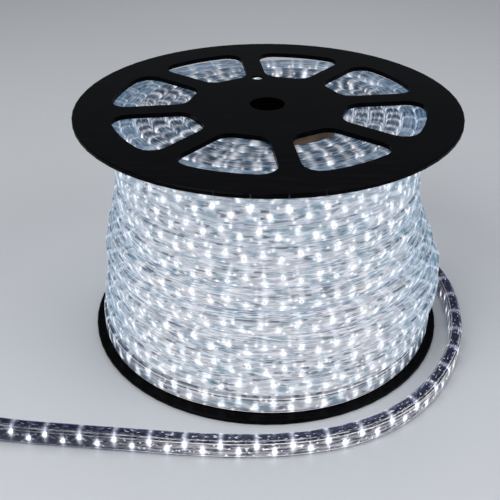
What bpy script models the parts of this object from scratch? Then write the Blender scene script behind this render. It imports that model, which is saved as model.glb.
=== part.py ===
# A reel of flat LED rope light: two spoked flanges on a core tube, the wound rope, and its free end
# that runs round the reel on the table.
# Metres, +Z up. The origin is on the reel's axis, in the plane that the reel stands on.
import math

import bmesh
import bpy
from mathutils import Vector

# Driving dimensions of the rope: a flat section that stands on its narrow edge
rope_height = 0.0175
rope_thickness = 0.011
rope_corner = 0.0028

# Driving dimensions of the winding
turns_high = 11
turn_slack = 0.00112
layers_at_head = 6
layers_at_foot = 8
winding_foot_radius = 0.1565
winding_head_radius = 0.1320
shoulder_turn = 4.71
head_flare = 0.0065
flare_turn = 7.0
head_room = 0.00048
groove_depth = 0.0012
sway = 0.0068
sway_turn = 2.65
sway_spread = 1.4

# Driving dimensions of the reel
flange_radius = 0.164
flange_thickness = 0.004
flange_edge = 0.0008
core_radius = 0.061
core_wall = 0.004
spigot_wall = 0.003
spigot_depth = 0.012
arbor_radius = 0.015
spoke_count = 8
spoke_width = 0.017
window_inner = 0.0664
window_outer = 0.1337
window_corner = 0.014
spoke_turn = math.radians(-81.7)
start_hole_place = 0.065
start_hole_radius = 0.0055

# Driving dimensions of the end cap on the free end
cap_length = 0.024
cap_wall = 0.0012
cap_overlap = 0.016

# Clearances
gap = 0.0003
table_gap = 0.0002

# How finely round pieces are divided
round_steps = 64
winding_steps = 48
corner_steps = 4
rope_steps = 76
channel_steps = 22

# Worked out from the sizes above
turn_pitch = rope_height + turn_slack
winding_foot = flange_thickness + gap
winding_head = winding_foot + turns_high * turn_pitch
upper_flange_foot = winding_head + head_room
reel_height = upper_flange_foot + flange_thickness
spoke_step = 2 * math.pi / spoke_count

# Heights of the rope's middle line where it lies on the flange, on the table and in the end cap
on_flange = flange_thickness + gap + rope_height / 2
on_table = table_gap + rope_height / 2
in_cap = on_table + cap_wall + gap
halfway_down = (on_flange + on_table) / 2

# The free end: out of the winding's lowest turn at the left, round behind, the right and the front
rope_route = [
    (-0.1495, 0.0210, on_flange),
    (-0.1394, 0.0592, on_flange),
    (-0.1212, 0.0947, on_flange),
    (-0.0953, 0.1265, on_flange),
    (-0.0613, 0.1517, on_flange),
    (-0.0235, 0.1670, on_flange),
    (0.0181, 0.1718, on_flange),
    (0.0602, 0.1653, halfway_down),
    (0.0997, 0.1478, on_table),
    (0.1337, 0.1204, on_table),
    (0.1596, 0.0849, on_table),
    (0.1744, 0.0484, on_table),
    (0.1808, 0.0095, on_table),
    (0.1790, -0.0316, on_table),
    (0.1720, -0.0660, on_table),
    (0.1580, -0.0990, on_table),
    (0.1360, -0.1330, on_table),
    (0.1040, -0.1630, on_table),
    (0.0660, -0.1825, on_table),
    (0.0240, -0.1925, on_table),
    (-0.0200, -0.1955, on_table),
    (-0.0640, -0.1940, on_table),
    (-0.1080, -0.1905, on_table),
    (-0.1520, -0.1870, on_table),
    (-0.1900, -0.1836, on_table),
    (-0.2200, -0.1810, in_cap),
    (-0.2440, -0.1790, in_cap),
]


def clear_scene():
    for old in list(bpy.data.objects):
        bpy.data.objects.remove(old, do_unlink=True)


def new_collection(name):
    collection = bpy.data.collections.new(name)
    bpy.context.scene.collection.children.link(collection)
    return collection


clear_scene()
parts = new_collection("led_rope_light_reel")
cutters = new_collection("cutters")


def material(name, color, roughness, metallic=0.0):
    made = bpy.data.materials.new(name)
    made.use_nodes = True
    shader = made.node_tree.nodes["Principled BSDF"]
    shader.inputs["Base Color"].default_value = (*color, 1.0)
    shader.inputs["Roughness"].default_value = roughness
    shader.inputs["Metallic"].default_value = metallic
    made.diffuse_color = (*color, 1.0)
    return made


def add_object(name, data, collection, finish=None):
    made = bpy.data.objects.new(name, data)
    collection.objects.link(made)
    if finish:
        data.materials.append(finish)
    return made


def as_guide(made):
    made.hide_render = True
    made.display_type = "WIRE"
    return made


def turned(name, profile, steps, finish):
    """A closed profile of (radius, height) points, spun round the reel's axis."""
    mesh = bpy.data.meshes.new(name)
    points = [(radius, 0.0, height) for radius, height in profile]
    count = len(points)
    mesh.from_pydata(points, [(i, (i + 1) % count) for i in range(count)], [])
    made = add_object(name, mesh, parts, finish)
    screw = made.modifiers.new("spin", "SCREW")
    screw.axis = "Z"
    screw.angle = 2 * math.pi
    screw.steps = steps
    screw.render_steps = steps
    screw.use_merge_vertices = True
    screw.merge_threshold = 0.00005
    screw.use_smooth_shade = True
    return made


def curve_to_mesh(curve_object, name, collection):
    """A mesh copy of a curve's solid, with its caps welded on."""
    graph = bpy.context.evaluated_depsgraph_get()
    mesh = bpy.data.meshes.new_from_object(curve_object.evaluated_get(graph))
    work = bmesh.new()
    work.from_mesh(mesh)
    bmesh.ops.remove_doubles(work, verts=work.verts, dist=0.00002)
    bmesh.ops.recalc_face_normals(work, faces=work.faces)
    work.to_mesh(mesh)
    work.free()
    place = curve_object.matrix_world.copy()
    bpy.data.objects.remove(curve_object, do_unlink=True)
    made = bpy.data.objects.new(name, mesh)
    made.matrix_world = place
    collection.objects.link(made)
    return made


def flat_plate(name, outlines, low, high):
    """Closed outlines in the XY plane, made solid from one height to the other."""
    curve = bpy.data.curves.new(name + "_outline", "CURVE")
    curve.dimensions = "2D"
    curve.fill_mode = "BOTH"
    curve.extrude = (high - low) / 2
    for outline in outlines:
        spline = curve.splines.new("POLY")
        spline.points.add(len(outline) - 1)
        for point, (x, y) in zip(spline.points, outline):
            point.co = (x, y, 0.0, 1.0)
        spline.use_cyclic_u = True
    made = bpy.data.objects.new(name + "_outline", curve)
    cutters.objects.link(made)
    made.location.z = (low + high) / 2
    bpy.context.view_layer.update()
    return as_guide(curve_to_mesh(made, name, cutters))


def arc(centre, radius, start, end, steps):
    """Points on an arc, both ends included."""
    points = []
    for i in range(steps + 1):
        angle = start + (end - start) * i / steps
        points.append((centre[0] + radius * math.cos(angle), centre[1] + radius * math.sin(angle)))
    return points


def rotated(point, angle):
    x, y = point
    return (x * math.cos(angle) - y * math.sin(angle), x * math.sin(angle) + y * math.cos(angle))


def window_outline(middle):
    """One window between two spokes: sides along the spokes, an arched outer edge, round corners."""
    half_step = spoke_step / 2
    off_spoke = spoke_width / 2 + window_corner
    inner_u = window_inner + window_corner
    inner_v = inner_u * math.tan(half_step) - off_spoke / math.cos(half_step)
    corner_reach = window_outer - window_corner
    along = math.sqrt(corner_reach ** 2 - off_spoke ** 2)
    outer_u, outer_v = rotated((along, -off_spoke), half_step)
    outer_angle = math.atan2(outer_v, outer_u)
    side = half_step + math.pi / 2
    outline = []
    outline += arc((inner_u, inner_v), window_corner, math.pi, side, corner_steps)
    outline += arc((outer_u, outer_v), window_corner, side, outer_angle, corner_steps)
    outline += arc((0, 0), window_outer, outer_angle, -outer_angle, corner_steps)[1:-1]
    outline += arc((outer_u, -outer_v), window_corner, -outer_angle, -side, corner_steps)
    outline += arc((inner_u, -inner_v), window_corner, -side, -math.pi, corner_steps)
    return [rotated(point, middle) for point in outline]


def cut(made, cutter):
    boolean = made.modifiers.new("cut " + cutter.name, "BOOLEAN")
    boolean.operation = "DIFFERENCE"
    boolean.solver = "EXACT"
    boolean.object = cutter


def flange(name, outside, inward, finish):
    """A spoked flange: outside is the height of its outer face, inward is +1 or -1 towards the core."""
    def at(depth):
        return outside + inward * depth

    spigot_radius = core_radius - core_wall - gap
    spigot_end = flange_thickness + spigot_depth
    profile = [
        (flange_radius - flange_edge, at(0)),
        (flange_radius, at(flange_edge)),
        (flange_radius, at(flange_thickness - flange_edge)),
        (flange_radius - flange_edge, at(flange_thickness)),
        (spigot_radius, at(flange_thickness)),
        (spigot_radius, at(spigot_end)),
        (spigot_radius - spigot_wall, at(spigot_end)),
        (spigot_radius - spigot_wall, at(flange_thickness)),
        (arbor_radius, at(flange_thickness)),
        (arbor_radius, at(0)),
    ]
    if inward > 0:
        profile.reverse()
    made = turned(name, profile, round_steps, finish)
    low = min(at(-flange_thickness), at(2 * flange_thickness))
    high = max(at(-flange_thickness), at(2 * flange_thickness))
    windows = [window_outline(spoke_turn + (k + 0.5) * spoke_step) for k in range(spoke_count)]
    cut(made, flat_plate(name + "_windows", windows, low, high))
    hole_middle = rotated((start_hole_place, 0), spoke_turn + math.pi)
    hole = arc(hole_middle, start_hole_radius, 0, 2 * math.pi, 16)[:-1]
    cut(made, flat_plate(name + "_start_hole", [hole], low, high))
    return made


def core_tube(finish):
    low = flange_thickness + gap
    high = upper_flange_foot - gap
    inner = core_radius - core_wall
    return turned("core_tube", [(core_radius, high), (core_radius, low), (inner, low), (inner, high)],
                  round_steps, finish)


def winding_radius(turn):
    """Outer radius of a turn, counted from the foot: wide below, drawn in above the shoulder,
    and a little wider again under the upper flange."""
    drop = winding_foot_radius - winding_head_radius
    flare = head_flare * max(0.0, (turn - flare_turn) / (turns_high - 1 - flare_turn)) ** 2
    return winding_head_radius + drop / (1 + math.exp(turn - shoulder_turn)) + flare


def sway_at(turn):
    """How far a turn stands out to the right of the axis: most at the fullest part of the winding."""
    return sway * math.exp(-((turn - sway_turn) / sway_spread) ** 2)


def swayed(made, bore):
    """The turned solid with its outside moved sideways, height by height; its bore stays on the axis."""
    graph = bpy.context.evaluated_depsgraph_get()
    mesh = bpy.data.meshes.new_from_object(made.evaluated_get(graph))
    made.modifiers.clear()
    made.data = mesh
    for vertex in mesh.vertices:
        if math.hypot(vertex.co.x, vertex.co.y) > bore + gap:
            turn = (vertex.co.z - winding_foot) / turn_pitch - 0.5
            vertex.co.x += sway_at(turn)


def winding(finish):
    """The wound rope as one solid: its turns show on its side, its layers on both ends.
    The lowest turn opens into a channel where the free end comes out of it."""
    inner = core_radius + gap
    head_radius = winding_radius(turns_high - 1)
    profile = [(head_radius - rope_corner, winding_head)]
    for turn in reversed(range(turns_high)):
        radius = winding_radius(turn)
        foot = winding_foot + turn * turn_pitch
        profile.append((radius, foot + turn_pitch - rope_corner))
        profile.append((radius, foot + rope_corner))
        root = winding_radius(turn) - rope_corner
        profile.append((root if turn == 0 else root - groove_depth, foot))
    profile += end_relief(winding_radius(0), inner, layers_at_foot, winding_foot, 1)
    profile.append((inner, winding_foot))
    profile.append((inner, winding_head))
    profile += reversed(end_relief(head_radius, inner, layers_at_head, winding_head, -1))
    made = turned("rope_winding", profile, winding_steps, finish)
    swayed(made, inner)
    cut(made, as_guide(rope_channel()))
    return made


def rope_channel():
    """The room that the free end takes in the lowest turn, with its clearance, up to the turn above."""
    points = smooth_points(rope_route, rope_steps)
    heading = (points[0] - points[1]).normalized()
    low = winding_foot - gap
    high = winding_foot + turn_pitch + gap
    middle = Vector((0, 0, (low + high) / 2 - on_flange))
    inside = [point + middle for point in [points[0] + heading * gap] + points[1:channel_steps]]
    section = rope_section("channel_section", rope_thickness + 2 * gap, high - low, gap)
    return rope_length("rope_channel", inside, section, cutters)


def end_relief(outer, inner, layers, height, into):
    """The grooves between the layers on one end, from the outside to the bore."""
    pitch = (outer - inner) / layers
    points = []
    for layer in range(1, layers):
        middle = outer - layer * pitch
        points.append((middle + rope_corner / 2, height))
        points.append((middle, height + into * rope_corner))
        points.append((middle - rope_corner / 2, height))
    return points


def smooth_points(route, count):
    """Evenly spread points on one smooth curve through the route's own points."""
    points = [Vector(point) for point in route]
    before_first = 3 * points[0] - 3 * points[1] + points[2]
    after_last = 3 * points[-1] - 3 * points[-2] + points[-3]
    padded = [before_first] + points + [after_last]
    fine = []
    pieces = 24
    for i in range(1, len(padded) - 2):
        before, here, there, after = padded[i - 1:i + 3]
        for k in range(pieces):
            t = k / pieces
            fine.append(0.5 * (2 * here + (there - before) * t
                               + (2 * before - 5 * here + 4 * there - after) * t ** 2
                               + (3 * here - before - 3 * there + after) * t ** 3))
    fine.append(points[-1])
    reach = [0.0]
    for a, b in zip(fine, fine[1:]):
        reach.append(reach[-1] + (b - a).length)
    chosen = []
    k = 0
    for i in range(count):
        wanted = reach[-1] * i / (count - 1)
        while k < len(reach) - 2 and reach[k + 1] < wanted:
            k += 1
        share = (wanted - reach[k]) / (reach[k + 1] - reach[k])
        chosen.append(fine[k].lerp(fine[k + 1], min(1.0, share)))
    return chosen


def rope_section(name, across, along_z, corner):
    """The rope's flat section as a closed curve: across is its thickness, along_z its height."""
    half_a = across / 2 - corner
    half_z = along_z / 2 - corner
    outline = []
    for k, (a, z) in enumerate([(half_a, half_z), (-half_a, half_z), (-half_a, -half_z), (half_a, -half_z)]):
        outline += arc((a, z), corner, k * math.pi / 2, (k + 1) * math.pi / 2, 2)
    curve = bpy.data.curves.new(name, "CURVE")
    curve.dimensions = "2D"
    curve.fill_mode = "NONE"
    spline = curve.splines.new("POLY")
    spline.points.add(len(outline) - 1)
    for point, (a, z) in zip(spline.points, outline):
        point.co = (a, z, 0.0, 1.0)
    spline.use_cyclic_u = True
    return as_guide(add_object(name, curve, cutters))


def rope_length(name, points, section, collection):
    """A flat section along a line of points, standing on its narrow edge, with closed ends."""
    curve = bpy.data.curves.new(name, "CURVE")
    curve.dimensions = "3D"
    curve.twist_mode = "Z_UP"
    curve.bevel_mode = "OBJECT"
    curve.bevel_object = section
    curve.use_fill_caps = True
    spline = curve.splines.new("POLY")
    spline.points.add(len(points) - 1)
    for point, place in zip(spline.points, points):
        point.co = (*place, 1.0)
    made = add_object(name, curve, collection)
    bpy.context.view_layer.update()
    return curve_to_mesh(made, name, collection)


def free_rope(finish):
    section = rope_section("rope_section", rope_thickness, rope_height, rope_corner)
    solid = rope_length("free_rope", smooth_points(rope_route, rope_steps), section, parts)
    solid.data.materials.append(finish)
    solid.data.shade_smooth()
    solid.data.set_sharp_from_angle(angle=math.radians(40))
    return solid


def end_cap(finish):
    """The moulded cap that closes the free end: a cup over the rope's last stretch."""
    points = smooth_points(rope_route, rope_steps)
    tip = points[-1]
    heading = (tip - points[-2]).normalized()
    turn = math.atan2(heading.y, heading.x)
    start = tip - heading * cap_overlap
    middle = start + heading * cap_length / 2
    across = rope_thickness + 2 * (cap_wall + gap)
    upright = rope_height + 2 * (cap_wall + gap)
    bpy.ops.mesh.primitive_cube_add(size=1)
    body = bpy.context.active_object
    body.name = "end_cap"
    move_to(body, parts)
    place_box(body, middle, turn, (cap_length, across, upright))
    bevel = body.modifiers.new("round edges", "BEVEL")
    bevel.width = rope_corner
    bevel.segments = 2
    bevel.limit_method = "ANGLE"
    bpy.ops.mesh.primitive_cube_add(size=1)
    hollow = bpy.context.active_object
    hollow.name = "end_cap_socket"
    move_to(hollow, cutters)
    reach = cap_overlap + gap
    room = 2 * gap
    place_box(hollow, start + heading * (reach - cap_overlap) / 2, turn,
              (reach + cap_overlap, rope_thickness + room, rope_height + room))
    cut(body, as_guide(hollow))
    body.data.materials.append(finish)
    return body


def move_to(made, collection):
    for old in list(made.users_collection):
        old.objects.unlink(made)
    collection.objects.link(made)


def place_box(made, middle, turn, size):
    """Size a unit cube in its mesh, then set its place and turn."""
    for vertex in made.data.vertices:
        vertex.co = Vector(a * b for a, b in zip(vertex.co, size))
    made.location = middle
    made.rotation_euler = (0, 0, turn)


black_plastic = material("black_plastic", (0.012, 0.012, 0.013), 0.42)
brown_card = material("brown_card", (0.20, 0.14, 0.09), 0.85)
wound_rope = material("wound_clear_pvc", (0.78, 0.85, 0.92), 0.25)
free_pvc = material("clear_pvc", (0.70, 0.78, 0.88), 0.2)
cap_pvc = material("cap_pvc", (0.80, 0.84, 0.88), 0.3)

flange("lower_flange", 0.0, 1, black_plastic)
flange("upper_flange", reel_height, -1, black_plastic.copy())
core_tube(brown_card)
winding(wound_rope)
free_rope(free_pvc)
end_cap(cap_pvc)
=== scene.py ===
import math
import random

import bpy
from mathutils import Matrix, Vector


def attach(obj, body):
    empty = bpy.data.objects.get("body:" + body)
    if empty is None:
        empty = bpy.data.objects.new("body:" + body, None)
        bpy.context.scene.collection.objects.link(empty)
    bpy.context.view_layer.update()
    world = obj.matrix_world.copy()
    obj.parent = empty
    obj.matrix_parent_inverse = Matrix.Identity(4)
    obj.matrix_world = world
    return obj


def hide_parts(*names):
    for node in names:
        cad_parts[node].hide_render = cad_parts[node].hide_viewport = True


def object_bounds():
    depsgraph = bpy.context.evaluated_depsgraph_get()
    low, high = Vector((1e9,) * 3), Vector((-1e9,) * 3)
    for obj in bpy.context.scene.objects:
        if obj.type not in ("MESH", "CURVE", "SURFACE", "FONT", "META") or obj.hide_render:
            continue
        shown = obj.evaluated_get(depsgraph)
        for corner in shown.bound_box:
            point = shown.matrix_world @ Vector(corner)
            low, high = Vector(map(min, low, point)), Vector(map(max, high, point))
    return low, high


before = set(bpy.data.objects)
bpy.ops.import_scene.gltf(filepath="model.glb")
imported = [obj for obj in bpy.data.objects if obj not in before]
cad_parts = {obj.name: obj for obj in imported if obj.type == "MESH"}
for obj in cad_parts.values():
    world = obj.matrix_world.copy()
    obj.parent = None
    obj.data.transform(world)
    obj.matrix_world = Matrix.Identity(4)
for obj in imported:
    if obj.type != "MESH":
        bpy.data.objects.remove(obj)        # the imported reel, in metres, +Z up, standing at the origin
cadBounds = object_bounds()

print("frame loaded")

# The photo's camera: where it stands, how it is turned, and how long its lens is
photoView = {
    "place": (0.0, -0.6474, 0.4714),
    "pitchDown": 0.5585,
    "yaw": -0.0234,
    "roll": -0.0032,
    "focalPixels": 805.9,
    "framePixels": 500,
    "sensor": 36.0,
}

# The rope's flat section, and what is inside it
rope = {
    "height": 0.0175,
    "thickness": 0.011,
    "corner": 0.0028,
    "lightStep": 0.0278,      # between two lights of one row
    "rowLift": 0.0025,        # a row's height above or below the two rows' middle
    "rowRise": 0.0008,        # that middle's height above the rope's own
    "channelRadius": 0.0024,
    "wireLift": 0.0072,       # the outer wires' height above or below the middle
    "wireRadius": 0.0007,
    "cornerSteps": 3,
    "channelSides": 8,
    "wireSides": 6,
    "pointStep": 0.0115,      # between two points of the wound rope's line
}

# How the rope is wound: the same sizes as the solid winding
winding = {
    "levels": 11,
    "slack": 0.00112,
    "foot": 0.0043,
    "footRadius": 0.1565,
    "headRadius": 0.1320,
    "shoulder": 4.71,
    "flare": 0.0065,           # how much wider the topmost turn is again
    "flareTurn": 7.0,
    "innerRadius": 0.0613,
    "coreGap": 0.0004,         # between the core and the innermost layer
    "layersAtHead": 6,
    "layersAtFoot": 8,
    "exitAngle": 172.0,        # where the free end leaves the lowest turn
    "riseFrom": 80.0,          # where each turn climbs to the next level, in degrees
    "riseTo": 108.0,
    "stepsPerTurn": 80,
    "sway": 0.0068,            # how far the fullest turns stand out to the right
    "swayTurn": 2.65,
    "swaySpread": 1.4,
    "wobble": 0.0005,
    "inwardFrom": 62.0,        # where the end turns step in to the next layer
    "inwardOver": 46.0,
    "diveOver": 40.0,          # and how long they take to go back between the layers
    "lastInward": 362.0,       # how far the outside turns go on in the next layer
    "settleOver": 20,          # steps over which the first turn takes up its wobble
}
turnPitch = rope["height"] + winding["slack"]
windingHead = winding["foot"] + winding["levels"] * turnPitch
onFlange = winding["foot"] + rope["height"] / 2
onTable = 0.0002 + rope["height"] / 2
inCap = onTable + 0.0015
halfwayDown = (onFlange + onTable) / 2

# The free end's route, the same points as the solid one
freeRoute = [
    (-0.1495, 0.0210, onFlange),
    (-0.1394, 0.0592, onFlange),
    (-0.1212, 0.0947, onFlange),
    (-0.0953, 0.1265, onFlange),
    (-0.0613, 0.1517, onFlange),
    (-0.0235, 0.1670, onFlange),
    (0.0181, 0.1718, onFlange),
    (0.0602, 0.1653, halfwayDown),
    (0.0997, 0.1478, onTable),
    (0.1337, 0.1204, onTable),
    (0.1596, 0.0849, onTable),
    (0.1744, 0.0484, onTable),
    (0.1808, 0.0095, onTable),
    (0.1790, -0.0316, onTable),
    (0.1720, -0.0660, onTable),
    (0.1580, -0.0990, onTable),
    (0.1360, -0.1330, onTable),
    (0.1040, -0.1630, onTable),
    (0.0660, -0.1825, onTable),
    (0.0240, -0.1925, onTable),
    (-0.0200, -0.1955, onTable),
    (-0.0640, -0.1940, onTable),
    (-0.1080, -0.1905, onTable),
    (-0.1520, -0.1870, onTable),
    (-0.1900, -0.1836, onTable),
    (-0.2200, -0.1810, inCap),
    (-0.2440, -0.1790, inCap),
]


def deselectAll():
    bpy.ops.object.select_all(action="DESELECT")


def makeActive(piece):
    deselectAll()
    piece.select_set(True)
    bpy.context.view_layer.objects.active = piece


def selectFaces(piece, wanted):
    # Leaves the piece in edit mode with only the wanted faces selected
    makeActive(piece)
    bpy.ops.object.mode_set(mode="EDIT")
    bpy.ops.mesh.select_mode(type="FACE")
    bpy.ops.mesh.select_all(action="DESELECT")
    bpy.ops.object.mode_set(mode="OBJECT")
    for face in piece.data.polygons:
        face.select = wanted(face.normal)
    bpy.ops.object.mode_set(mode="EDIT")


def smoothStep(share):
    share = min(1.0, max(0.0, share))
    return share * share * (3 - 2 * share)


def smoothPoints(route, count):
    # Evenly spread points on one smooth curve through the route's own points
    points = [Vector(point) for point in route]
    beforeFirst = 3 * points[0] - 3 * points[1] + points[2]
    afterLast = 3 * points[-1] - 3 * points[-2] + points[-3]
    padded = [beforeFirst] + points + [afterLast]
    fine = []
    pieces = 24
    for i in range(1, len(padded) - 2):
        before, here, there, after = padded[i - 1:i + 3]
        for k in range(pieces):
            t = k / pieces
            fine.append(0.5 * (2 * here + (there - before) * t
                               + (2 * before - 5 * here + 4 * there - after) * t ** 2
                               + (3 * here - before - 3 * there + after) * t ** 3))
    fine.append(points[-1])
    return evenPoints(fine, count)


def evenPoints(fine, count):
    # The line divided evenly by its length; a fourth number, a point's tilt, is carried along
    reach = [0.0]
    for a, b in zip(fine, fine[1:]):
        reach.append(reach[-1] + (b - a).to_3d().length)
    chosen = []
    k = 0
    for i in range(count):
        wanted = reach[-1] * i / (count - 1)
        while k < len(reach) - 2 and reach[k + 1] < wanted:
            k += 1
        share = (wanted - reach[k]) / (reach[k + 1] - reach[k])
        chosen.append(fine[k].lerp(fine[k + 1], min(1.0, share)))
    return chosen


def lengthOf(points):
    return sum((b - a).length for a, b in zip(points, points[1:]))


def finishPiece(piece, material):
    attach(piece, "root")
    piece.data.materials.clear()
    piece.data.materials.append(material)


class Signal:
    # A shader socket that reads as a number in an expression
    def __init__(self, tree, socket=None):
        self.tree = tree
        self.socket = socket

    def node(self, kind, settings=None, sockets=None, output=0):
        made = self.tree.nodes.new("ShaderNode" + kind)
        for key, value in (settings or {}).items():
            if key == "stops":
                ramp = made.color_ramp
                while len(ramp.elements) < len(value):
                    ramp.elements.new(0.5)
                for stop, (place, colour) in zip(ramp.elements, value):
                    stop.position = place
                    stop.color = (*colour, 1.0)
            else:
                setattr(made, key, value)
        for key, value in (sockets or {}).items():
            if isinstance(value, Signal):
                self.tree.links.new(value.socket, made.inputs[key])
            elif isinstance(value, tuple) and made.inputs[key].type == "RGBA":
                made.inputs[key].default_value = (*value, 1.0)
            else:
                made.inputs[key].default_value = value
        return Signal(self.tree, made.outputs[output])

    def math(self, operation, *values):
        return self.node("Math", {"operation": operation}, dict(enumerate(values)))

    def __add__(self, other):
        return self.math("ADD", self, other)

    __radd__ = __add__

    def __mul__(self, other):
        return self.math("MULTIPLY", self, other)

    def __sub__(self, other):
        return self.math("SUBTRACT", self, other)

    def __rsub__(self, other):
        return self.math("SUBTRACT", other, self)

    def __truediv__(self, other):
        return self.math("DIVIDE", self, other)

    def __pow__(self, other):
        return self.math("POWER", self, other)

    def __abs__(self):
        return self.math("ABSOLUTE", self)

    def range(self, low, high, newLow=0.0, newHigh=1.0):
        return self.node("MapRange", {"interpolation_type": "SMOOTHSTEP"},
                         {"Value": self, "From Min": low, "From Max": high,
                          "To Min": newLow, "To Max": newHigh})

    def fade(self, low, high):
        return self.range(low, high, 1.0, 0.0)

    def band(self, limits):
        # One between the two inner limits and nothing outside the outer two
        return self.range(*limits[:2]) * self.fade(*limits[2:])

    def ownPlace(self):
        return self.node("TexCoord", output="Object")

    def part(self, vector, axis):
        return self.node("SeparateXYZ", {}, {"Vector": vector}, output=axis)

    def noise(self, vector, scale, detail=2.0, roughness=0.5):
        return self.node("TexNoise", {}, {"Vector": vector, "Scale": scale, "Detail": detail,
                                          "Roughness": roughness})

    def stretched(self, vector, scale):
        return self.node("Mapping", {}, {"Vector": vector, "Scale": scale})

    def grain(self, vector, scale, detail=2.0, roughness=0.5):
        # Noise that is as fine along each axis as that axis's own scale
        return self.noise(self.stretched(vector, scale), 1.0, detail, roughness)

    def blend(self, factor, first, second, how="MIX"):
        return self.node("Mix", {"data_type": "RGBA", "blend_type": how},
                         {"Factor": factor, 6: first, 7: second}, output=2)

    def bump(self, height, strength, distance):
        return self.node("Bump", {}, {"Height": height, "Strength": strength, "Distance": distance})


def feed(shader, name, value):
    # Sets an input of the shader, or links a signal into it
    if isinstance(value, Signal):
        shader.id_data.links.new(value.socket, shader.inputs[name])
    else:
        shader.inputs[name].default_value = value


def newMaterial(name, colour, roughness):
    material = bpy.data.materials.new(name)
    material.use_nodes = True
    material.diffuse_color = (*colour, 1.0)
    shader = material.node_tree.nodes["Principled BSDF"]
    feed(shader, "Base Color", (*colour, 1.0))
    feed(shader, "Roughness", roughness)
    return material, shader, Signal(material.node_tree)


def alongRope(start):
    # Metres along the rope and round its section, then how far a point is to one side and above its middle
    uv = start.node("UVMap", {"uv_map": "UVMap"})
    section = start.node("UVMap", {"uv_map": "Section"})
    return uv, start.part(uv, "X"), start.part(section, "X"), start.part(section, "Y")


def fromNearest(start, along, step, phase=0.0):
    # Metres along the rope to the nearest of the things that stand a step apart
    return abs(start.math("FRACT", along / step + phase) - 0.5) * step


def rowLifts():
    # The upper and the lower row's height above the rope's own middle
    return rope["rowRise"] + rope["rowLift"], rope["rowRise"] - rope["rowLift"]


def lightSpot(start, along, lift, phase, height, wide, tall, step=rope["lightStep"]):
    # A soft spot of light, brightest in its middle, repeated along the rope
    away = (start.math("FRACT", along / step + phase) - 0.5) * step
    reach = (away / wide) ** 2.0 + ((lift - height) / tall) ** 2.0
    return start.math("EXPONENT", 0.0 - reach)


def bothRows(start, along, lift, wide, tall):
    upper, lower = rowLifts()
    return lightSpot(start, along, lift, 0.0, upper, wide, tall) \
        + lightSpot(start, along, lift, 0.5, lower, wide, tall)


# Where painted lines run along the rope's broad sides, as limits of their height off its middle
sideLines = {
    # painted light along the clear rope's outer lines, painted shade in the lowest turn's grooves and a
    # painted highlight along its rim
    "railGlow": (0.0056, 0.0061, 0.0065, 0.0071),
    "grooveShade": (0.0054, 0.0058, 0.0062, 0.0066),
    "rim": (0.0064, 0.0068, 0.0074, 0.0078),
}

clearLook = {
    "navy": (0.008, 0.012, 0.036),           # the unlit lengths between two lights
    "tint": (0.20, 0.24, 0.36),
    "light": (1.0, 0.99, 1.03),
    "depth": (0.002, 0.004, 0.016),          # what glows where no light reaches
    "leavesAt": 0.32,                        # metres along, as far as it lies against the lit winding
    "reached": (0.50, 0.66, 0.86, 0.97),     # metres along, where the winding's light reaches it again
    "hotGlow": 80.0,
    "core": (0.0013, 0.0014),                # how wide and tall each part of a light is
    "hot": (0.0008, 0.0008),
    "bars": (0.0021, 0.0050),
    "lines": (60.0, 620.0, 1.0),             # how fine each pattern is, along the rope and round it
    "threads": (55.0, 1500.0, 1.0),
    "glowSpecks": (240.0, 900.0, 1.0),
    "transmission": 0.7,
    "ior": 1.40,
    "specular": 0.2,
}


def clearMaterial(name):
    # Clear PVC on its own: painted unlit dark between its lights, with bright bars of painted light at them
    # and thin lines of painted light and painted highlights along its edges
    look = clearLook
    material, shader, start = newMaterial(name, look["tint"], 0.05)
    uv, along, side, lift = alongRope(start)
    lines = start.grain(uv, look["lines"], 2.0, 0.6)
    threads = start.grain(uv, look["threads"], 2.0, 0.6)
    glowSpecks = start.grain(uv, look["glowSpecks"], 1.0)
    core = bothRows(start, along, lift, *look["core"])
    hot = bothRows(start, along, lift, *look["hot"])
    bars = bothRows(start, along, lift, *look["bars"])
    between = bars.fade(0.05, 0.5)
    # how far the winding's light is painted on: where the rope lies against the lit winding, and again
    # where that light reaches it
    beside = along.fade(0.0, look["leavesAt"])
    hazeAndGlow = along.band(look["reached"]) + beside * 0.8
    offCentre = abs(lift)
    railGlows = offCentre.band(sideLines["railGlow"])
    brimHighlight = offCentre.range(0.0080, 0.0083) * abs(side).range(0.0030, 0.0042)
    inner = offCentre.fade(0.0050, 0.0058)
    # painted unlit navy between the lights, less of it where the winding's light is painted on
    clear = (between * 0.7 + 0.3) * (1.0 - beside)
    # all painted light: the lights' cores and bars, glowing lines along the sides and inside, a painted
    # highlight along the outer corners, and glowing flecks
    shine = core * 1.2 + hot * look["hotGlow"] \
        + bars * threads.range(0.36, 0.56, 0.40, 0.95) * (hazeAndGlow * 0.35 + 0.65) \
        + railGlows * lines.range(0.36, 0.52, 0.3, 1.0) * (hazeAndGlow * 0.55 + 0.16) \
        + brimHighlight * lines.range(0.40, 0.56) * (hazeAndGlow * 0.4 + 0.22) \
        + inner * threads.range(0.40, 0.62, 0.08, 1.0) * hazeAndGlow * 0.36 \
        + glowSpecks.range(0.60, 0.70) * (hazeAndGlow * 0.5 + 0.2) + beside * 0.16 + 0.004
    feed(shader, "Base Color", start.blend(clear, look["tint"], look["navy"]))
    feed(shader, "Emission Color", start.blend(shine, look["depth"], look["light"], "ADD"))
    feed(shader, "Emission Strength", 1.0)
    feed(shader, "Transmission Weight", look["transmission"])
    feed(shader, "IOR", look["ior"])
    feed(shader, "Specular IOR Level", look["specular"])
    feed(shader, "Roughness", lines.range(0.35, 0.75, 0.02, 0.08))
    feed(shader, "Normal", start.bump(lines, 0.4, 0.0005))
    return material
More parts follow.
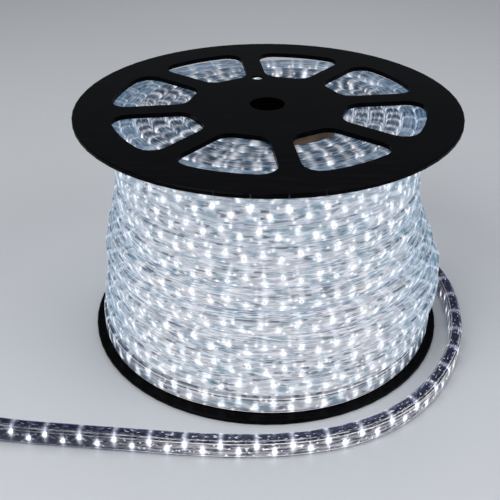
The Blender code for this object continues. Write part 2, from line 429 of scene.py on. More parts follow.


# How the outside turns look; the end turns in the windows are a copy painted darker between their lights,
# as shade, and have the rest of it in common
woundLook = {
    "mid": (0.42, 0.44, 0.49),        # the glow between two lights
    "pale": (0.66, 0.67, 0.72),
    "steel": (0.18, 0.29, 0.37),      # patches that less light reaches
    "dark": (0.055, 0.065, 0.10),     # painted shade in fine shadow lines, along a turn's edges and in the lowest turn's grooves, and the printed cutting marks
    "light": (1.02, 0.985, 1.0),
    "glow": 0.88,
    "bare": 0.30,                     # how much of its colour the PVC shows without its lights
    "paleFrom": 0.42,
    "shade": 0.9,                     # how dark the topmost turn gets under the flange
    "shadeTint": (0.30, 0.38, 0.47),
    "sideAndTopShade": 1.0,                    # how much less light reaches the sides and the upper turns
    "sideAndTopShadeTint": (0.50, 0.67, 0.79),
    "shadeAside": (0.08, 0.15),        # how far to a side and how high up that starts and is full
    "shadeHeight": (0.11, 0.19),
    "shadeDepth": (0.0125, 0.0015),   # how far below the winding's head the shade starts and is full
    "coreGlow": 0.9,
    "haloGlow": 0.20,
    "hotGlow": 45.0,
    "columnGlow": 0.25,
    "deepGlow": 0.75,
    "core": (0.0014, 0.0020),         # how wide and tall each part of a light is
    "hot": (0.0008, 0.0008),
    "halo": (0.0034, 0.0036),
    "column": (0.0028, 0.0070),
    "lines": (80.0, 900.0, 1.0),      # how fine each pattern is, along the rope and round it
    "scratchesAndShadowLines": (75.0, 1250.0, 1.0),
    "patches": (60.0, 130.0, 1.0),
    "clusters": (52.0, 150.0, 1.0),
    "dashes": (95.0, 40.0, 1.0),
    "drift": 11.0,
}
shadedEndLook = dict(
    woundLook,
    mid=(0.030, 0.078, 0.140),
    pale=(0.29, 0.38, 0.51),
    steel=(0.003, 0.022, 0.055),
    dark=(0.002, 0.003, 0.010),
    glow=0.80,
    bare=0.10,
    paleFrom=0.49,
    shade=0.0,
    sideAndTopShade=0.0,
    coreGlow=2.2,
    haloGlow=0.25,
    hotGlow=60.0,
    columnGlow=0.55,
    deepGlow=1.0,
    column=(0.0028, 0.0125),
)

# The printed cutting marks: pairs of short bars, a metre apart along the rope
cuttingMarks = {
    "step": 1.0,
    "phase": 0.33,
    "wide": (0.0030, 0.0036),
    "barLift": 0.0028,
    "tall": (0.0008, 0.0013),
}

# Lights of the layers below, seen through the outside turn: each row's phase, height, width,
# tallness and step
deepRows = [
    (0.37, 0.0068, 0.0014, 0.0017, 0.0251),
    (0.81, -0.0064, 0.0014, 0.0017, 0.0239),
    (0.12, -0.0035, 0.0012, 0.0014, 0.0263),
    (0.59, 0.0058, 0.0011, 0.0013, 0.0217),
]


def cutMarks(start, along, lift):
    marks = cuttingMarks
    away = fromNearest(start, along, marks["step"], marks["phase"])
    return away.fade(*marks["wide"]) * abs(abs(lift) - marks["barLift"]).fade(*marks["tall"])


def woundMaterial(name, look):
    # Clear PVC lit from inside, wound on lit PVC: no light gets far without meeting an edge
    material, shader, start = newMaterial(name, look["mid"], 0.2)
    uv, along, side, lift = alongRope(start)
    place = start.ownPlace()
    height = start.part(place, "Z")
    offCentre = abs(lift)
    lines = start.grain(uv, look["lines"], 2.0, 0.6)
    scratchesAndShadowLines = start.grain(uv, look["scratchesAndShadowLines"], 1.0)
    patches = start.grain(uv, look["patches"])
    clusters = start.grain(uv, look["clusters"], 1.0)
    dashes = start.grain(uv, look["dashes"], 1.0)
    drift = start.noise(place, look["drift"])
    core = bothRows(start, along, lift, *look["core"])
    hot = bothRows(start, along, lift, *look["hot"]) * clusters.range(0.50, 0.56)
    halo = bothRows(start, along, lift, *look["halo"])
    column = bothRows(start, along, lift, *look["column"])
    between = column.fade(0.12, 0.5)
    deeper = sum(lightSpot(start, along, lift, *row) for row in deepRows)

    # the glow painted on the PVC, with fine lines, fine painted shadow lines, and a broken line of painted
    # shade along each edge where two turns meet
    reached = patches.range(0.38, 0.60) * 0.75 + drift.range(0.3, 0.6) * 0.25
    tone = start.blend(reached, look["steel"], look["mid"])
    tone = start.blend(lines.range(look["paleFrom"], look["paleFrom"] + 0.20), tone, look["pale"])
    thin = scratchesAndShadowLines.range(0.52, 0.60) * clusters.range(0.47, 0.61) * (between * 0.55 + 0.2)
    tone = start.blend(thin, tone, look["dark"])
    footTop = winding["foot"] + rope["height"]
    foot = height.fade(footTop - 0.001, footTop + 0.001)
    edge = offCentre.range(0.0077, 0.0084) * abs(side).range(0.0024, 0.0034) * (1.0 + foot)
    broken = dashes.range(0.47, 0.60) * (between * 0.7 + 0.3)
    tone = start.blend(edge * broken * 0.8 + cutMarks(start, along, lift) * 0.9, tone, look["dark"])

    # the lowest turn stands out alone: painted shade between its lights, deeper to the sides and in its
    # grooves, and a painted highlight along its rim
    aside = abs(start.part(place, "X")).range(*look["shadeAside"])
    upper = lift.range(0.0050, 0.0060)
    footShade = between * (aside * 0.6 + upper * 0.5 + 0.3) + offCentre.band(sideLines["grooveShade"]) * 0.6
    tone = start.blend(foot * footShade, tone, look["dark"])
    rim = offCentre.band(sideLines["rim"]) * lines.range(0.35, 0.55, 0.2, 0.6)
    tone = start.blend(foot * rim, tone, look["light"])

    # painted shade: darker and bluer to the sides and upwards, and darkest just under the upper flange
    sideAndTopShade = (aside * 0.8 + height.range(*look["shadeHeight"]) * 0.35) * look["sideAndTopShade"]
    tone = start.blend(sideAndTopShade, tone, look["sideAndTopShadeTint"], "MULTIPLY")
    under = height.range(*(windingHead - depth for depth in look["shadeDepth"]))
    tone = start.blend(under * look["shade"], tone, look["shadeTint"], "MULTIPLY")

    shining = core * look["coreGlow"] + hot * look["hotGlow"] + halo * look["haloGlow"] \
        + (column * look["columnGlow"] + deeper * look["deepGlow"]) * lines.range(0.35, 0.55, 0.5, 1.0)
    feed(shader, "Base Color", start.blend(look["bare"], (0.0, 0.0, 0.0), tone))
    feed(shader, "Emission Color", start.blend(shining, tone, look["light"], "ADD"))
    feed(shader, "Emission Strength", look["glow"])
    feed(shader, "Coat Weight", 0.4)
    feed(shader, "Coat Roughness", 0.1)
    feed(shader, "Alpha", core.range(0.3, 0.9, 0.97, 0.5))
    feed(shader, "Normal", start.bump(lines + scratchesAndShadowLines * 0.5, 0.35, 0.0005))
    return material


boreLooks = {
    "litBore": {
        "dark": (0.12, 0.20, 0.30),
        "pale": (0.8, 0.85, 0.9),
        "light": (1.1, 1.15, 1.25),
        "halo": 0.5,
    },
    "freeBore": {
        "dark": (0.008, 0.011, 0.025),
        "pale": (0.4, 0.44, 0.5),
        "light": (0.7, 0.75, 0.85),
        "halo": 0.05,
    },
}


def channelMaterial(name):
    # The bore that holds one row of lights: bright round each light, dim between two
    look = boreLooks[name]
    material, shader, start = newMaterial(name, look["dark"], 0.2)
    uv, along = alongRope(start)[:2]
    away = fromNearest(start, along, rope["lightStep"])
    nearLight = away.fade(0.0010, 0.0022)
    around = away.fade(0.0015, 0.0100)
    streaks = start.grain(uv, (60.0, 600.0, 1.0), 3.0).range(0.35, 0.65)
    lit = nearLight + (around * 0.6 + 0.4) * streaks * look["halo"]
    feed(shader, "Base Color",
         start.blend(nearLight * 0.6 + around * streaks * 0.4, look["dark"], look["pale"]))
    feed(shader, "Emission Color", start.blend(lit, (0.0, 0.0, 0.0), look["light"]))
    feed(shader, "Emission Strength", 1.0)
    return material


def startMaterial():
    # A clear end with the winding's light coming up through it
    material, shader, start = newMaterial("litStart", (0.6, 0.62, 0.66), 0.2)
    place = start.ownPlace()
    glow = start.noise(place, 260.0, 2.0)
    lines = start.grain(place, (900.0, 200.0, 60.0))
    feed(shader, "Base Color", start.blend(lines.range(0.4, 0.6), (0.16, 0.18, 0.22), (0.5, 0.52, 0.56)))
    feed(shader, "Emission Color",
         start.blend(glow.range(0.42, 0.62), (0.12, 0.13, 0.15), (1.0, 0.96, 0.92)))
    feed(shader, "Emission Strength", 1.0)
    feed(shader, "Coat Weight", 0.5)
    return material


def capMaterial():
    # A moulded clear cap, hazy where its wall is thick, with the last light's glow in it
    material, shader, start = newMaterial("clearCap", (0.42, 0.46, 0.54), 0.12)
    place = start.ownPlace()
    hazeAndGlow = start.grain(place, (120.0, 420.0, 420.0), 3.0)
    ribStep = 0.0022
    ribs = start.math("SINE", start.part(place, "X") * (2 * math.pi / ribStep))
    feed(shader, "Base Color", start.blend(hazeAndGlow.range(0.35, 0.7), (0.24, 0.28, 0.38), (0.68, 0.71, 0.78)))
    feed(shader, "Emission Color",
         start.blend(hazeAndGlow.range(0.5, 0.8) * 0.5, (0.01, 0.012, 0.02), (0.5, 0.53, 0.6)))
    feed(shader, "Emission Strength", 1.0)
    feed(shader, "Transmission Weight", 0.8)
    feed(shader, "IOR", 1.48)
    feed(shader, "Roughness", hazeAndGlow.range(0.3, 0.7, 0.08, 0.25))
    feed(shader, "Normal", start.bump(ribs.range(-1.0, 1.0) + hazeAndGlow * 0.4, 0.25, 0.0004))
    return material


def massMaterial(name):
    # The lit layers under the outside turns, seen through them as blurred light and fine lines
    material, shader, start = newMaterial(name, (0.25, 0.33, 0.42), 0.3)
    place = start.ownPlace()
    x, y, z = (start.part(place, axis) for axis in "XYZ")
    meanRadius = 0.14
    around = start.math("ARCTAN2", y, x) * meanRadius
    unrolled = start.node("CombineXYZ", {}, {"X": around, "Y": z, "Z": 0.0})
    lines = start.grain(unrolled, (45.0, 700.0, 1.0), 3.0).range(0.35, 0.65)
    spots = start.node("TexVoronoi", {"feature": "F1"},
                       {"Vector": start.stretched(unrolled, (105.0, 46.0, 1.0)), "Scale": 1.0,
                        "Randomness": 0.75})
    lights = spots.fade(0.08, 0.42)
    patches = start.grain(unrolled, (75.0, 120.0, 1.0), 1.0).range(0.38, 0.62)
    tone = start.blend(patches, (0.07, 0.16, 0.26), (0.48, 0.55, 0.64))
    lined = start.blend(lines, tone, (0.62, 0.68, 0.76))
    lit = start.blend(lights, lined, (1.5, 1.5, 1.55))
    feed(shader, "Base Color", lined)
    feed(shader, "Emission Color", lit)
    feed(shader, "Emission Strength", 0.2)
    return material


def wireMaterial():
    # Tinned copper strands, twisted
    material, shader, start = newMaterial("tinnedStrands", (0.55, 0.56, 0.58), 0.3)
    uv, along = alongRope(start)[:2]
    turnsAlong, turnsRound = 3600.0, 2800.0
    strands = start.math("SINE", along * turnsAlong + start.part(uv, "Y") * turnsRound)
    feed(shader, "Base Color",
         start.blend(strands.range(-1.0, 1.0), (0.20, 0.22, 0.25), (0.72, 0.74, 0.78)))
    feed(shader, "Normal", start.bump(strands, 0.6, 0.0002))
    feed(shader, "Metallic", 1.0)
    return material


def lampMaterial():
    # The lights themselves, a cool white that differs a little from one to the next
    material, shader, start = newMaterial("coolWhiteLamp", (0.9, 0.94, 1.0), 0.2)
    place = start.ownPlace()
    tints = [(0.30, (1.0, 0.90, 0.95)), (0.45, (0.90, 0.96, 1.0)),
             (0.60, (0.95, 0.98, 1.0)), (0.72, (1.0, 1.0, 0.90))]
    tint = start.noise(place, 45.0, 0.0)
    feed(shader, "Emission Color", start.node("ValToRGB", {"stops": tints}, {"Fac": tint}))
    feed(shader, "Emission Strength", 9.0)
    return material


def flangeMaterial(name):
    # Black moulded plastic, satin, with faint handling marks
    material, shader, start = newMaterial(name, (0.006, 0.006, 0.007), 0.35)
    place = start.ownPlace()
    grain = start.noise(place, 1800.0, 2.0)
    marks = start.grain(place, (30.0, 220.0, 60.0), 4.0)
    feed(shader, "Base Color",
         start.blend(marks.range(0.45, 0.8), (0.0012, 0.0012, 0.0015), (0.0034, 0.0034, 0.0040)))
    feed(shader, "Specular IOR Level", 0.035)
    feed(shader, "Roughness", marks.range(0.3, 0.7, 0.26, 0.38) + grain * 0.05)
    feed(shader, "Normal", start.bump(grain, 0.12, 0.0002))
    return material


def cardMaterial():
    # Brown card wound in a spiral, with fibres and the edges of its plies
    material, shader, start = newMaterial("brownCard", (0.22, 0.14, 0.09), 0.85)
    place = start.ownPlace()
    x, y, z = (start.part(place, axis) for axis in "XYZ")
    plyRise = 0.09
    around = start.math("ARCTAN2", y, x) / (2 * math.pi)
    seam = abs(start.math("FRACT", z / plyRise + around) - 0.5)
    fibres = start.grain(place, (500.0, 500.0, 120.0), 4.0)
    blotches = start.noise(place, 40.0, 3.0)
    paper = start.blend(blotches.range(0.3, 0.7), (0.17, 0.105, 0.065), (0.27, 0.18, 0.12))
    feed(shader, "Base Color", start.blend(seam.range(0.0, 0.012, 0.6, 0.0), paper, (0.08, 0.05, 0.03)))
    feed(shader, "Normal", start.bump(fibres + seam.range(0.0, 0.012, -1.0, 0.0), 0.3, 0.0004))
    return material


def floorMaterial():
    # A pale, slightly polished tabletop
    material, shader, start = newMaterial("paleTable", (0.62, 0.63, 0.65), 0.3)
    place = start.ownPlace()
    cloud = start.noise(place, 1.5, 0.0)
    speckle = start.noise(place, 900.0, 2.0)
    feed(shader, "Base Color",
         start.blend(cloud * 0.5 + speckle * 0.5, (0.60, 0.61, 0.63), (0.66, 0.67, 0.69)))
    feed(shader, "Roughness", cloud.range(0.2, 0.8, 0.26, 0.32))
    return material


def addCamera():
    settings = photoView
    pitch, yaw = settings["pitchDown"], settings["yaw"]
    ahead = Vector((math.sin(yaw) * math.cos(pitch), math.cos(yaw) * math.cos(pitch), -math.sin(pitch)))
    level = Vector((math.cos(yaw), -math.sin(yaw), 0.0))
    upward = level.cross(ahead)
    rollCos, rollSin = math.cos(settings["roll"]), math.sin(settings["roll"])
    right = rollCos * level + rollSin * upward
    up = rollCos * upward - rollSin * level
    data = bpy.data.cameras.new("photoCamera")
    data.sensor_width = settings["sensor"]
    data.lens = settings["focalPixels"] * settings["sensor"] / settings["framePixels"]
    data.clip_start = 0.01
    data.clip_end = 50.0
    camera = bpy.data.objects.new("photoCamera", data)
    bpy.context.scene.collection.objects.link(camera)
    matrix = camera.matrix_world.copy()
    for row in range(3):
        matrix[row][0], matrix[row][1], matrix[row][2] = right[row], up[row], -ahead[row]
        matrix[row][3] = settings["place"][row]
    camera.matrix_world = matrix
    bpy.context.scene.camera = camera


studio = {
    "sky": (0.80, 0.84, 0.90),
    "skyStrength": 0.2,
    "aim": (0, 0, 0.1),
    "tableSize": 8.0,
    "key": {"place": (-1.0, -1.0, 1.7), "size": 1.4, "power": 20.0, "colour": (0.95, 0.97, 1.0)},
    "fill": {"place": (1.4, -0.7, 1.3), "size": 1.4, "power": 12.0, "colour": (0.92, 0.95, 1.0)},
    "top": {"place": (0.0, 0.5, 2.4), "size": 2.2, "power": 22.0, "colour": (1.0, 1.0, 1.0)},
}


def addStudio():
    world = bpy.data.worlds.new("studio")
    bpy.context.scene.world = world
    world.use_nodes = True
    sky = world.node_tree.nodes["Background"]
    sky.inputs["Color"].default_value = (*studio["sky"], 1.0)
    sky.inputs["Strength"].default_value = studio["skyStrength"]
    for name in ("key", "fill", "top"):
        settings = studio[name]
        data = bpy.data.lights.new(name, "AREA")
        data.shape = "DISK"
        data.size = settings["size"]
        data.energy = settings["power"]
        data.color = settings["colour"]
        light = bpy.data.objects.new(name, data)
        bpy.context.scene.collection.objects.link(light)
        light.location = settings["place"]
        light.rotation_mode = "QUATERNION"
        light.rotation_quaternion = (Vector(studio["aim"]) - light.location).to_track_quat("-Z", "Y")
    deselectAll()
    bpy.ops.mesh.primitive_plane_add(size=studio["tableSize"], location=(0, 0, 0))
    table = bpy.context.active_object
    table.name = "table"
    table.data.materials.append(floorMaterial())


def sectionCurve(name, outlines):
    # Closed outlines as one flat curve, to sweep along a line
    curve = bpy.data.curves.new(name, "CURVE")
    curve.dimensions = "2D"
    curve.fill_mode = "NONE"
    for outline in outlines:
        spline = curve.splines.new("POLY")
        spline.points.add(len(outline) - 1)
        for point, (a, z) in zip(spline.points, outline):
            point.co = (a, z, 0.0, 1.0)
        spline.use_cyclic_u = True
    made = bpy.data.objects.new(name, curve)
    bpy.context.scene.collection.objects.link(made)
    return made


def circle(a, z, radius, steps):
    return [(a + radius * math.cos(2 * math.pi * k / steps), z + radius * math.sin(2 * math.pi * k / steps))
            for k in range(steps)]


def roundedBox(across, upright, corner, steps):
    outline = []
    halfA, halfZ = across / 2 - corner, upright / 2 - corner
    for k, (a, z) in enumerate([(halfA, halfZ), (-halfA, halfZ), (-halfA, -halfZ), (halfA, -halfZ)]):
        for i in range(steps + 1):
            turn = (k + i / steps) * math.pi / 2
            outline.append((a + corner * math.cos(turn), z + corner * math.sin(turn)))
    return outline


def pathCurve(name, points, tilts=None):
    curve = bpy.data.curves.new(name, "CURVE")
    curve.dimensions = "3D"
    curve.twist_mode = "Z_UP"
    spline = curve.splines.new("POLY")
    spline.points.add(len(points) - 1)
    for i, (point, place) in enumerate(zip(spline.points, points)):
        point.co = (*place, 1.0)
        point.tilt = tilts[i] if tilts else 0.0
    made = bpy.data.objects.new(name, curve)
    bpy.context.scene.collection.objects.link(made)
    return made


def sweep(name, points, section, tilts=None, start=0.0):
    # A section drawn along a line of points, as a mesh whose UV map is in metres, along and then round
    made = pathCurve(name, points, tilts)
    made.data.bevel_mode = "OBJECT"
    made.data.bevel_object = section
    made.data.use_fill_caps = True
    makeActive(made)
    bpy.ops.object.convert(target="MESH")
    made = bpy.context.active_object
    metricUv(made, start, lengthOf(points), section)
    bpy.ops.object.mode_set(mode="EDIT")
    bpy.ops.mesh.select_all(action="SELECT")
    bpy.ops.mesh.remove_doubles(threshold=0.00001)
    bpy.ops.mesh.normals_make_consistent(inside=False)
    bpy.ops.object.mode_set(mode="OBJECT")
    bpy.ops.object.shade_smooth_by_angle(angle=math.radians(50))
    return made


def metricUv(piece, start, length, section):
    # The sweep's own map runs 0..1 along and round; its end faces are mapped by the section alone
    outline = [point.co.to_2d() for point in section.data.splines[0].points]
    steps = len(outline)
    girth = sum((b - a).length for a, b in zip(outline, outline[1:] + outline[:1]))
    piece.data.uv_layers.new(name="Section")
    run, place = piece.data.uv_layers["UVMap"], piece.data.uv_layers["Section"]
    for face in piece.data.polygons:
        isEnd = all(run.data[i].uv.y == 0.0 for i in face.loop_indices)
        for i in face.loop_indices:
            along, around = run.data[i].uv
            corner = outline[round(along * (steps - 1)) if isEnd else round(around * steps) % steps]
            place.data[i].uv = corner
            run.data[i].uv = corner if isEnd else (start + along * length, around * girth)
    piece.data.uv_layers.active = run


random.seed(7)
wobblePhases = [(random.uniform(0, 6.28), random.uniform(0, 6.28)) for k in range(winding["levels"] + 1)]


def windingRadius(level):
    # Wide at the foot, drawn in above the shoulder, and a little wider again at the top
    drop = winding["footRadius"] - winding["headRadius"]
    drawnIn = drop / (1 + math.exp(level - winding["shoulder"]))
    flared = max(0.0, (level - winding["flareTurn"]) / (winding["levels"] - 1 - winding["flareTurn"])) ** 2
    return winding["headRadius"] + drawnIn + winding["flare"] * flared


def climb(angle):
    # How much of one level's climb is done at an angle, in degrees counted from the exit
    whole, part = divmod(angle - winding["exitAngle"], 360.0)
    first = winding["riseFrom"] + 360.0 - winding["exitAngle"]
    last = winding["riseTo"] + 360.0 - winding["exitAngle"]
    return whole + smoothStep((part - first) / (last - first))


def layerRadius(layer, layers, outer):
    # Middle of a layer's rope, counted from the core
    inner = winding["innerRadius"] + rope["thickness"] / 2 + winding["coreGap"]
    return inner + (outer - rope["thickness"] / 2 - inner) * layer / (layers - 1)


def swayAt(level):
    return winding["sway"] * math.exp(-((level - winding["swayTurn"]) / winding["swaySpread"]) ** 2)


def wobble(level, angle):
    k = int(min(winding["levels"], max(0, level)))
    first, second = wobblePhases[k]
    return winding["wobble"] * (math.sin(2 * angle + first) + math.sin(5 * angle + second))


def evenLine(points, tilts):
    marked = [Vector((*point, tilt)) for point, tilt in zip(points, tilts)]
    even = evenPoints(marked, int(lengthOf(points) / rope["pointStep"]))
    return [point.to_3d() for point in even], [point.w for point in even]


def outerTurns():
    # From the free end's exit up to the head, then in to the next layer and down into it
    points = []
    tilts = []
    steps = winding["stepsPerTurn"]
    top = winding["levels"] - 1
    start = winding["exitAngle"]
    inwardFrom = 360.0 * winding["levels"] + winding["inwardFrom"]
    last = inwardFrom + winding["lastInward"]
    nextLayer = layerRadius(winding["layersAtHead"] - 2, winding["layersAtHead"], windingRadius(top))
    for i in range(int(steps * (last - start) / 360.0) + 1):
        angle = start + 360.0 * i / steps
        level = min(top, climb(angle))
        lean = windingRadius(level - 0.5) - windingRadius(level + 0.5)
        radius = windingRadius(level) - rope["thickness"] / 2
        height = onFlange + level * turnPitch
        share = smoothStep((angle - inwardFrom) / winding["inwardOver"])
        radius += share * (nextLayer - radius)
        sink = smoothStep((angle - last + winding["diveOver"]) / winding["diveOver"])
        height -= sink * turnPitch
        turn = math.radians(angle)
        radius += wobble(level, turn) * smoothStep(i / winding["settleOver"]) * (1 - share)
        sway = swayAt(level) * (1 - share)
        points.append(Vector((radius * math.cos(turn) + sway, radius * math.sin(turn), height)))
        tilts.append(math.atan2(lean, turnPitch) * (1 - share) * smoothStep(level))
    return evenLine(points, tilts)


def endTurns(route, layers, outer, height, into):
    # Turns that show on one end of the winding: out of it, round, in by a layer, and back into it
    points = []
    rise = winding["riseTo"] - winding["riseFrom"]
    first, inward, last = route["from"], route["inward"], route["to"]
    for i in range(int(winding["stepsPerTurn"] * (last - first) / 360.0) + 1):
        angle = first + 360.0 * i / winding["stepsPerTurn"]
        share = smoothStep((angle - inward) / winding["inwardOver"])
        radius = layerRadius(route["layer"] - share, layers, outer)
        sink = 1 - smoothStep((angle - first) / rise) \
            + smoothStep((angle - last + winding["diveOver"]) / winding["diveOver"])
        turn = math.radians(angle)
        radius += 0.3 * wobble(route["layer"], turn)
        points.append(Vector((radius * math.cos(turn), radius * math.sin(turn),
                              height + into * sink * turnPitch)))
    return evenLine(points, [0.0] * len(points))


# The turns that show on each end: the layer they come out in, and their angles in degrees
headRoutes = {
    "headTurns3": {"layer": 3, "from": 80.0, "inward": 422.0, "to": 784.0},
    "headTurns1": {"layer": 1, "from": 80.0, "inward": 422.0, "to": 664.0},
    "headTurns0": {"layer": 0, "from": 326.0, "inward": 720.0, "to": 420.0},
}
footRoutes = {
    "footTurns6": {"layer": 6, "from": 80.0, "inward": 422.0, "to": 784.0},
    "footTurns4": {"layer": 4, "from": 80.0, "inward": 422.0, "to": 784.0},
    "footTurns2": {"layer": 2, "from": 80.0, "inward": 422.0, "to": 784.0},
}

# One light point
lamp = {
    "sides": 8,
    "radius": 0.0011,
    "depth": 0.0034,
    "outward": 0.0006,       # off the rope's middle plane
    "domeInset": 0.0004,
    "domeHeight": 0.0004,
}


def lampRow(name, path, length, outward, lift, first):
    # One light, repeated along the rope and bent onto its line
    step = rope["lightStep"]
    deselectAll()
    bpy.ops.mesh.primitive_cylinder_add(vertices=lamp["sides"], radius=lamp["radius"], depth=lamp["depth"],
                                        location=(first, outward * lamp["outward"], lift),
                                        rotation=(math.pi / 2, 0, 0))
    piece = bpy.context.active_object
    piece.name = name
    bpy.ops.object.transform_apply(location=True, rotation=True, scale=True)
    selectFaces(piece, lambda normal: normal.y * outward > 0.9)
    bpy.ops.mesh.inset(thickness=lamp["domeInset"], depth=lamp["domeHeight"])
    bpy.ops.object.mode_set(mode="OBJECT")
    bpy.ops.object.shade_smooth_by_angle(angle=math.radians(60))
    alongPath(piece, path, step, int((length - first - lamp["radius"]) / step) + 1)
    return piece


def alongPath(piece, path, step, count):
    array = piece.modifiers.new("repeat", "ARRAY")
    array.use_relative_offset = False
    array.use_constant_offset = True
    array.constant_offset_displace = (step, 0, 0)
    array.count = count
    bend = piece.modifiers.new("bend", "CURVE")
    bend.object = path
    bend.deform_axis = "POS_X"
    makeActive(piece)
    bpy.ops.object.modifier_apply(modifier="repeat")
    bpy.ops.object.modifier_apply(modifier="bend")


def joinPieces(name, pieces):
    deselectAll()
    for piece in pieces:
        piece.select_set(True)
    bpy.context.view_layer.objects.active = pieces[0]
    bpy.ops.object.join()
    joined = bpy.context.active_object
    joined.name = joined.data.name = name
    return joined


def ropeInsides(name, points, tilts, start, outward, channelFinish, wireFinish, lampFinish):
    # The rows' bores, the wires and the lights of a length of rope that begins some metres along it
    length = lengthOf(points)
    step = rope["lightStep"]
    made = []
    bores = []
    lifts = rowLifts()
    for row, lift in enumerate(lifts):
        bore = sectionCurve("bore", [circle(0, lift, rope["channelRadius"], rope["channelSides"])])
        bores.append(sweep("bore", points, bore, tilts, start + row * step / 2))
    made.append(joinPieces(name + "Bores", bores))
    finishPiece(made[-1], channelFinish)
    wireLifts = (rope["wireLift"], rope["rowRise"], -rope["wireLift"])
    wires = sectionCurve("wires", [circle(0, lift, rope["wireRadius"], rope["wireSides"])
                                   for lift in wireLifts])
    made.append(sweep(name + "Wires", points, wires, tilts))
    finishPiece(made[-1], wireFinish)
    path = pathCurve("lampPath", points, tilts)
    path.data.use_deform_bounds = False
    rows = [lampRow(name + "Lamps", path, length, outward, lift, (step * (0.5 - row / 2) - start) % step)
            for row, lift in enumerate(lifts)]
    made.append(joinPieces(name + "Lamps", rows))
    finishPiece(made[-1], lampFinish)
    return made


def stackedRings(name, rings, steps):
    # Rings of (radius, height, shift), each extruded from the last, closed back onto the first
    radius, height, shift = rings[0]
    deselectAll()
    bpy.ops.mesh.primitive_circle_add(vertices=steps, radius=radius, location=(shift, 0, height))
    piece = bpy.context.active_object
    piece.name = piece.data.name = name
    bpy.ops.object.transform_apply(location=True, rotation=True, scale=True)
    bpy.ops.object.mode_set(mode="EDIT")
    bpy.ops.mesh.select_mode(type="EDGE")
    bpy.ops.mesh.select_all(action="SELECT")
    for nextRadius, nextHeight, nextShift in rings[1:] + rings[:1]:
        away = (nextShift - shift, 0, nextHeight - height)
        bpy.ops.mesh.extrude_region_move(TRANSFORM_OT_translate={"value": away})
        ratio = nextRadius / radius
        bpy.ops.transform.resize(value=(ratio, ratio, 1), center_override=(nextShift, 0, nextHeight))
        radius, height, shift = nextRadius, nextHeight, nextShift
    bpy.ops.mesh.select_all(action="SELECT")
    bpy.ops.mesh.remove_doubles(threshold=0.00002)
    bpy.ops.mesh.normals_make_consistent(inside=False)
    bpy.ops.object.mode_set(mode="OBJECT")
    bpy.ops.object.shade_smooth_by_angle(angle=math.radians(40))
    return piece


deepLayers = {
    "under": 0.0008,        # inside the outside turns
    "endGap": 0.001,        # off the turns that show on each end
    "rows": 40,
    "sides": 96,
}


def windingMass():
    # The layers under the outside turns, as one turned body that sways as they do
    settings = deepLayers
    inner = winding["innerRadius"]
    under = rope["thickness"] + settings["under"]
    low = winding["foot"] + rope["height"] + settings["endGap"]
    high = windingHead - rope["height"] - settings["endGap"]
    rings = [(inner, low, 0.0)]
    for k in range(settings["rows"] + 1):
        height = low + (high - low) * k / settings["rows"]
        level = (height - onFlange) / turnPitch
        rings.append((windingRadius(level) - under, height, swayAt(level)))
    rings.append((inner, high, 0.0))
    return stackedRings("woundLayers", rings, settings["sides"])


ropeStartEnd = {
    "place": (-0.00938, 0.06432),      # the start hole's middle
    "radius": 0.0051,
    "sunk": 0.0020,                    # below the flange's top face
    "tall": 0.0076,
    "sides": 32,
    "bevel": 0.0012,
}


def startEnd():
    # The rope's own start, held in the upper flange's small hole and lit from below
    settings = ropeStartEnd
    deselectAll()
    x, y = settings["place"]
    middle = cadBounds[1][2] - settings["sunk"] - settings["tall"] / 2
    bpy.ops.mesh.primitive_cylinder_add(vertices=settings["sides"], radius=settings["radius"],
                                        depth=settings["tall"], location=(x, y, middle))
    piece = bpy.context.active_object
    piece.name = piece.data.name = "ropeStartEnd"
    bpy.ops.object.transform_apply(location=True, rotation=True, scale=True)
    selectFaces(piece, lambda normal: normal.z > 0.9)
    bpy.ops.mesh.inset(thickness=settings["bevel"], depth=settings["bevel"] / 2)
    bpy.ops.mesh.inset(thickness=settings["bevel"], depth=settings["bevel"] / 4)
    bpy.ops.object.mode_set(mode="OBJECT")
    bpy.ops.object.shade_smooth_by_angle(angle=math.radians(50))
    return piece


glints = {
    "Threshold": 1.5,
    "Strength": 1.0,
    "Streaks": 6,
    "Streaks Angle": math.radians(30),
    "Iterations": 2,
    "Fade": 0.80,
    "Color Modulation": 0.0,
}


def addGlints():
    # The small stars that a lens draws round a bright point
    scene = bpy.context.scene
    scene.use_nodes = True
    tree = scene.node_tree
    layers = tree.nodes.get("Render Layers") or tree.nodes.new("CompositorNodeRLayers")
    output = tree.nodes.get("Composite") or tree.nodes.new("CompositorNodeComposite")
    glare = tree.nodes.new("CompositorNodeGlare")
    glare.glare_type = "STREAKS"
    glare.quality = "HIGH"
    for name, value in glints.items():
        glare.inputs[name].default_value = value
    tree.links.new(layers.outputs["Image"], glare.inputs["Image"])
    tree.links.new(glare.outputs["Image"], output.inputs["Image"])


addCamera()
addStudio()
print("camera, lights and table made")

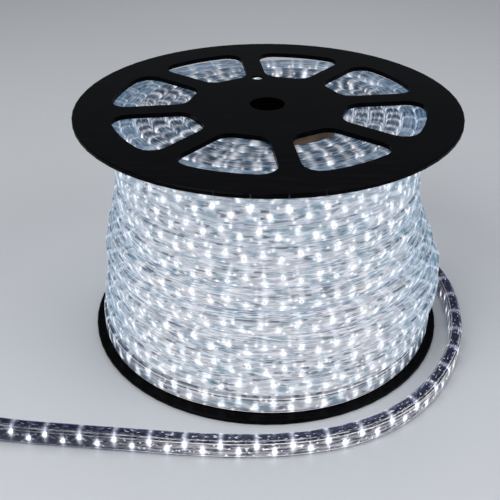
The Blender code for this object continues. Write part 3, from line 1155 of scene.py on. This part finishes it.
section = sectionCurve("ropeSection", [roundedBox(rope["thickness"], rope["height"], rope["corner"],
                                                  rope["cornerSteps"])])
freeSteps = 160
freePoints = smoothPoints(freeRoute, freeSteps)
freeStart = 0.0082        # brings the lights where the photograph has them
freeRope = sweep("freeRope", freePoints, section, None, freeStart)
finishPiece(freeRope, clearMaterial("clearPvc"))
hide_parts("free_rope")
lengthOf(freePoints)
print("free rope made, %.3f m" % lengthOf(freePoints))

boreFinish = channelMaterial("litBore")
wireFinish = wireMaterial()
lampFinish = lampMaterial()
woundPvc = woundMaterial("woundPvc", woundLook)
shadedEndPvc = woundMaterial("shadedEndPvc", shadedEndLook)

freeBore = channelMaterial("freeBore")
inside = ropeInsides("free", freePoints, None, freeStart, 1, freeBore, wireFinish, lampFinish)
for piece in inside:
    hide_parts("free_rope")
print("free rope's insides made")

points, tilts = outerTurns()
strands = [("outerTurns", points, tilts)]
for name, route in headRoutes.items():
    points, tilts = endTurns(route, winding["layersAtHead"], windingRadius(winding["levels"] - 1),
                             windingHead - rope["height"] / 2, -1)
    strands.append((name, points, tilts))
for name, route in footRoutes.items():
    points, tilts = endTurns(route, winding["layersAtFoot"], winding["footRadius"], onFlange, 1)
    strands.append((name, points, tilts))
ropeStart = 0.0
for name, points, tilts in strands:
    shell = sweep(name, points, section, tilts, ropeStart)
    finishPiece(shell, woundPvc if name == "outerTurns" else shadedEndPvc)
    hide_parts("rope_winding")
    for piece in ropeInsides(name, points, tilts, ropeStart, -1, boreFinish, wireFinish, lampFinish):
        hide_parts("rope_winding")
    ropeStart += lengthOf(points)
    print(name, "made, %.2f m" % lengthOf(points))

mass = windingMass()
finishPiece(mass, massMaterial("litLayers"))
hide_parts("rope_winding")
ropeEnd = startEnd()
finishPiece(ropeEnd, startMaterial())
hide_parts("rope_winding")
print("wound layers and the rope's start made")

for name, material in (("lower_flange", flangeMaterial("blackPlasticLower")),
                       ("upper_flange", flangeMaterial("blackPlasticUpper")),
                       ("core_tube", cardMaterial()), ("end_cap", capMaterial())):
    node = bpy.data.objects[name]
    for place in node.material_slots:
        place.material = material
print("flanges, core tube and end cap finished")

for guide in [made for made in bpy.data.objects if made.type == "CURVE"]:
    bpy.data.objects.remove(guide, do_unlink=True)

bpy.context.scene.view_settings.view_transform = "Standard"
addGlints()
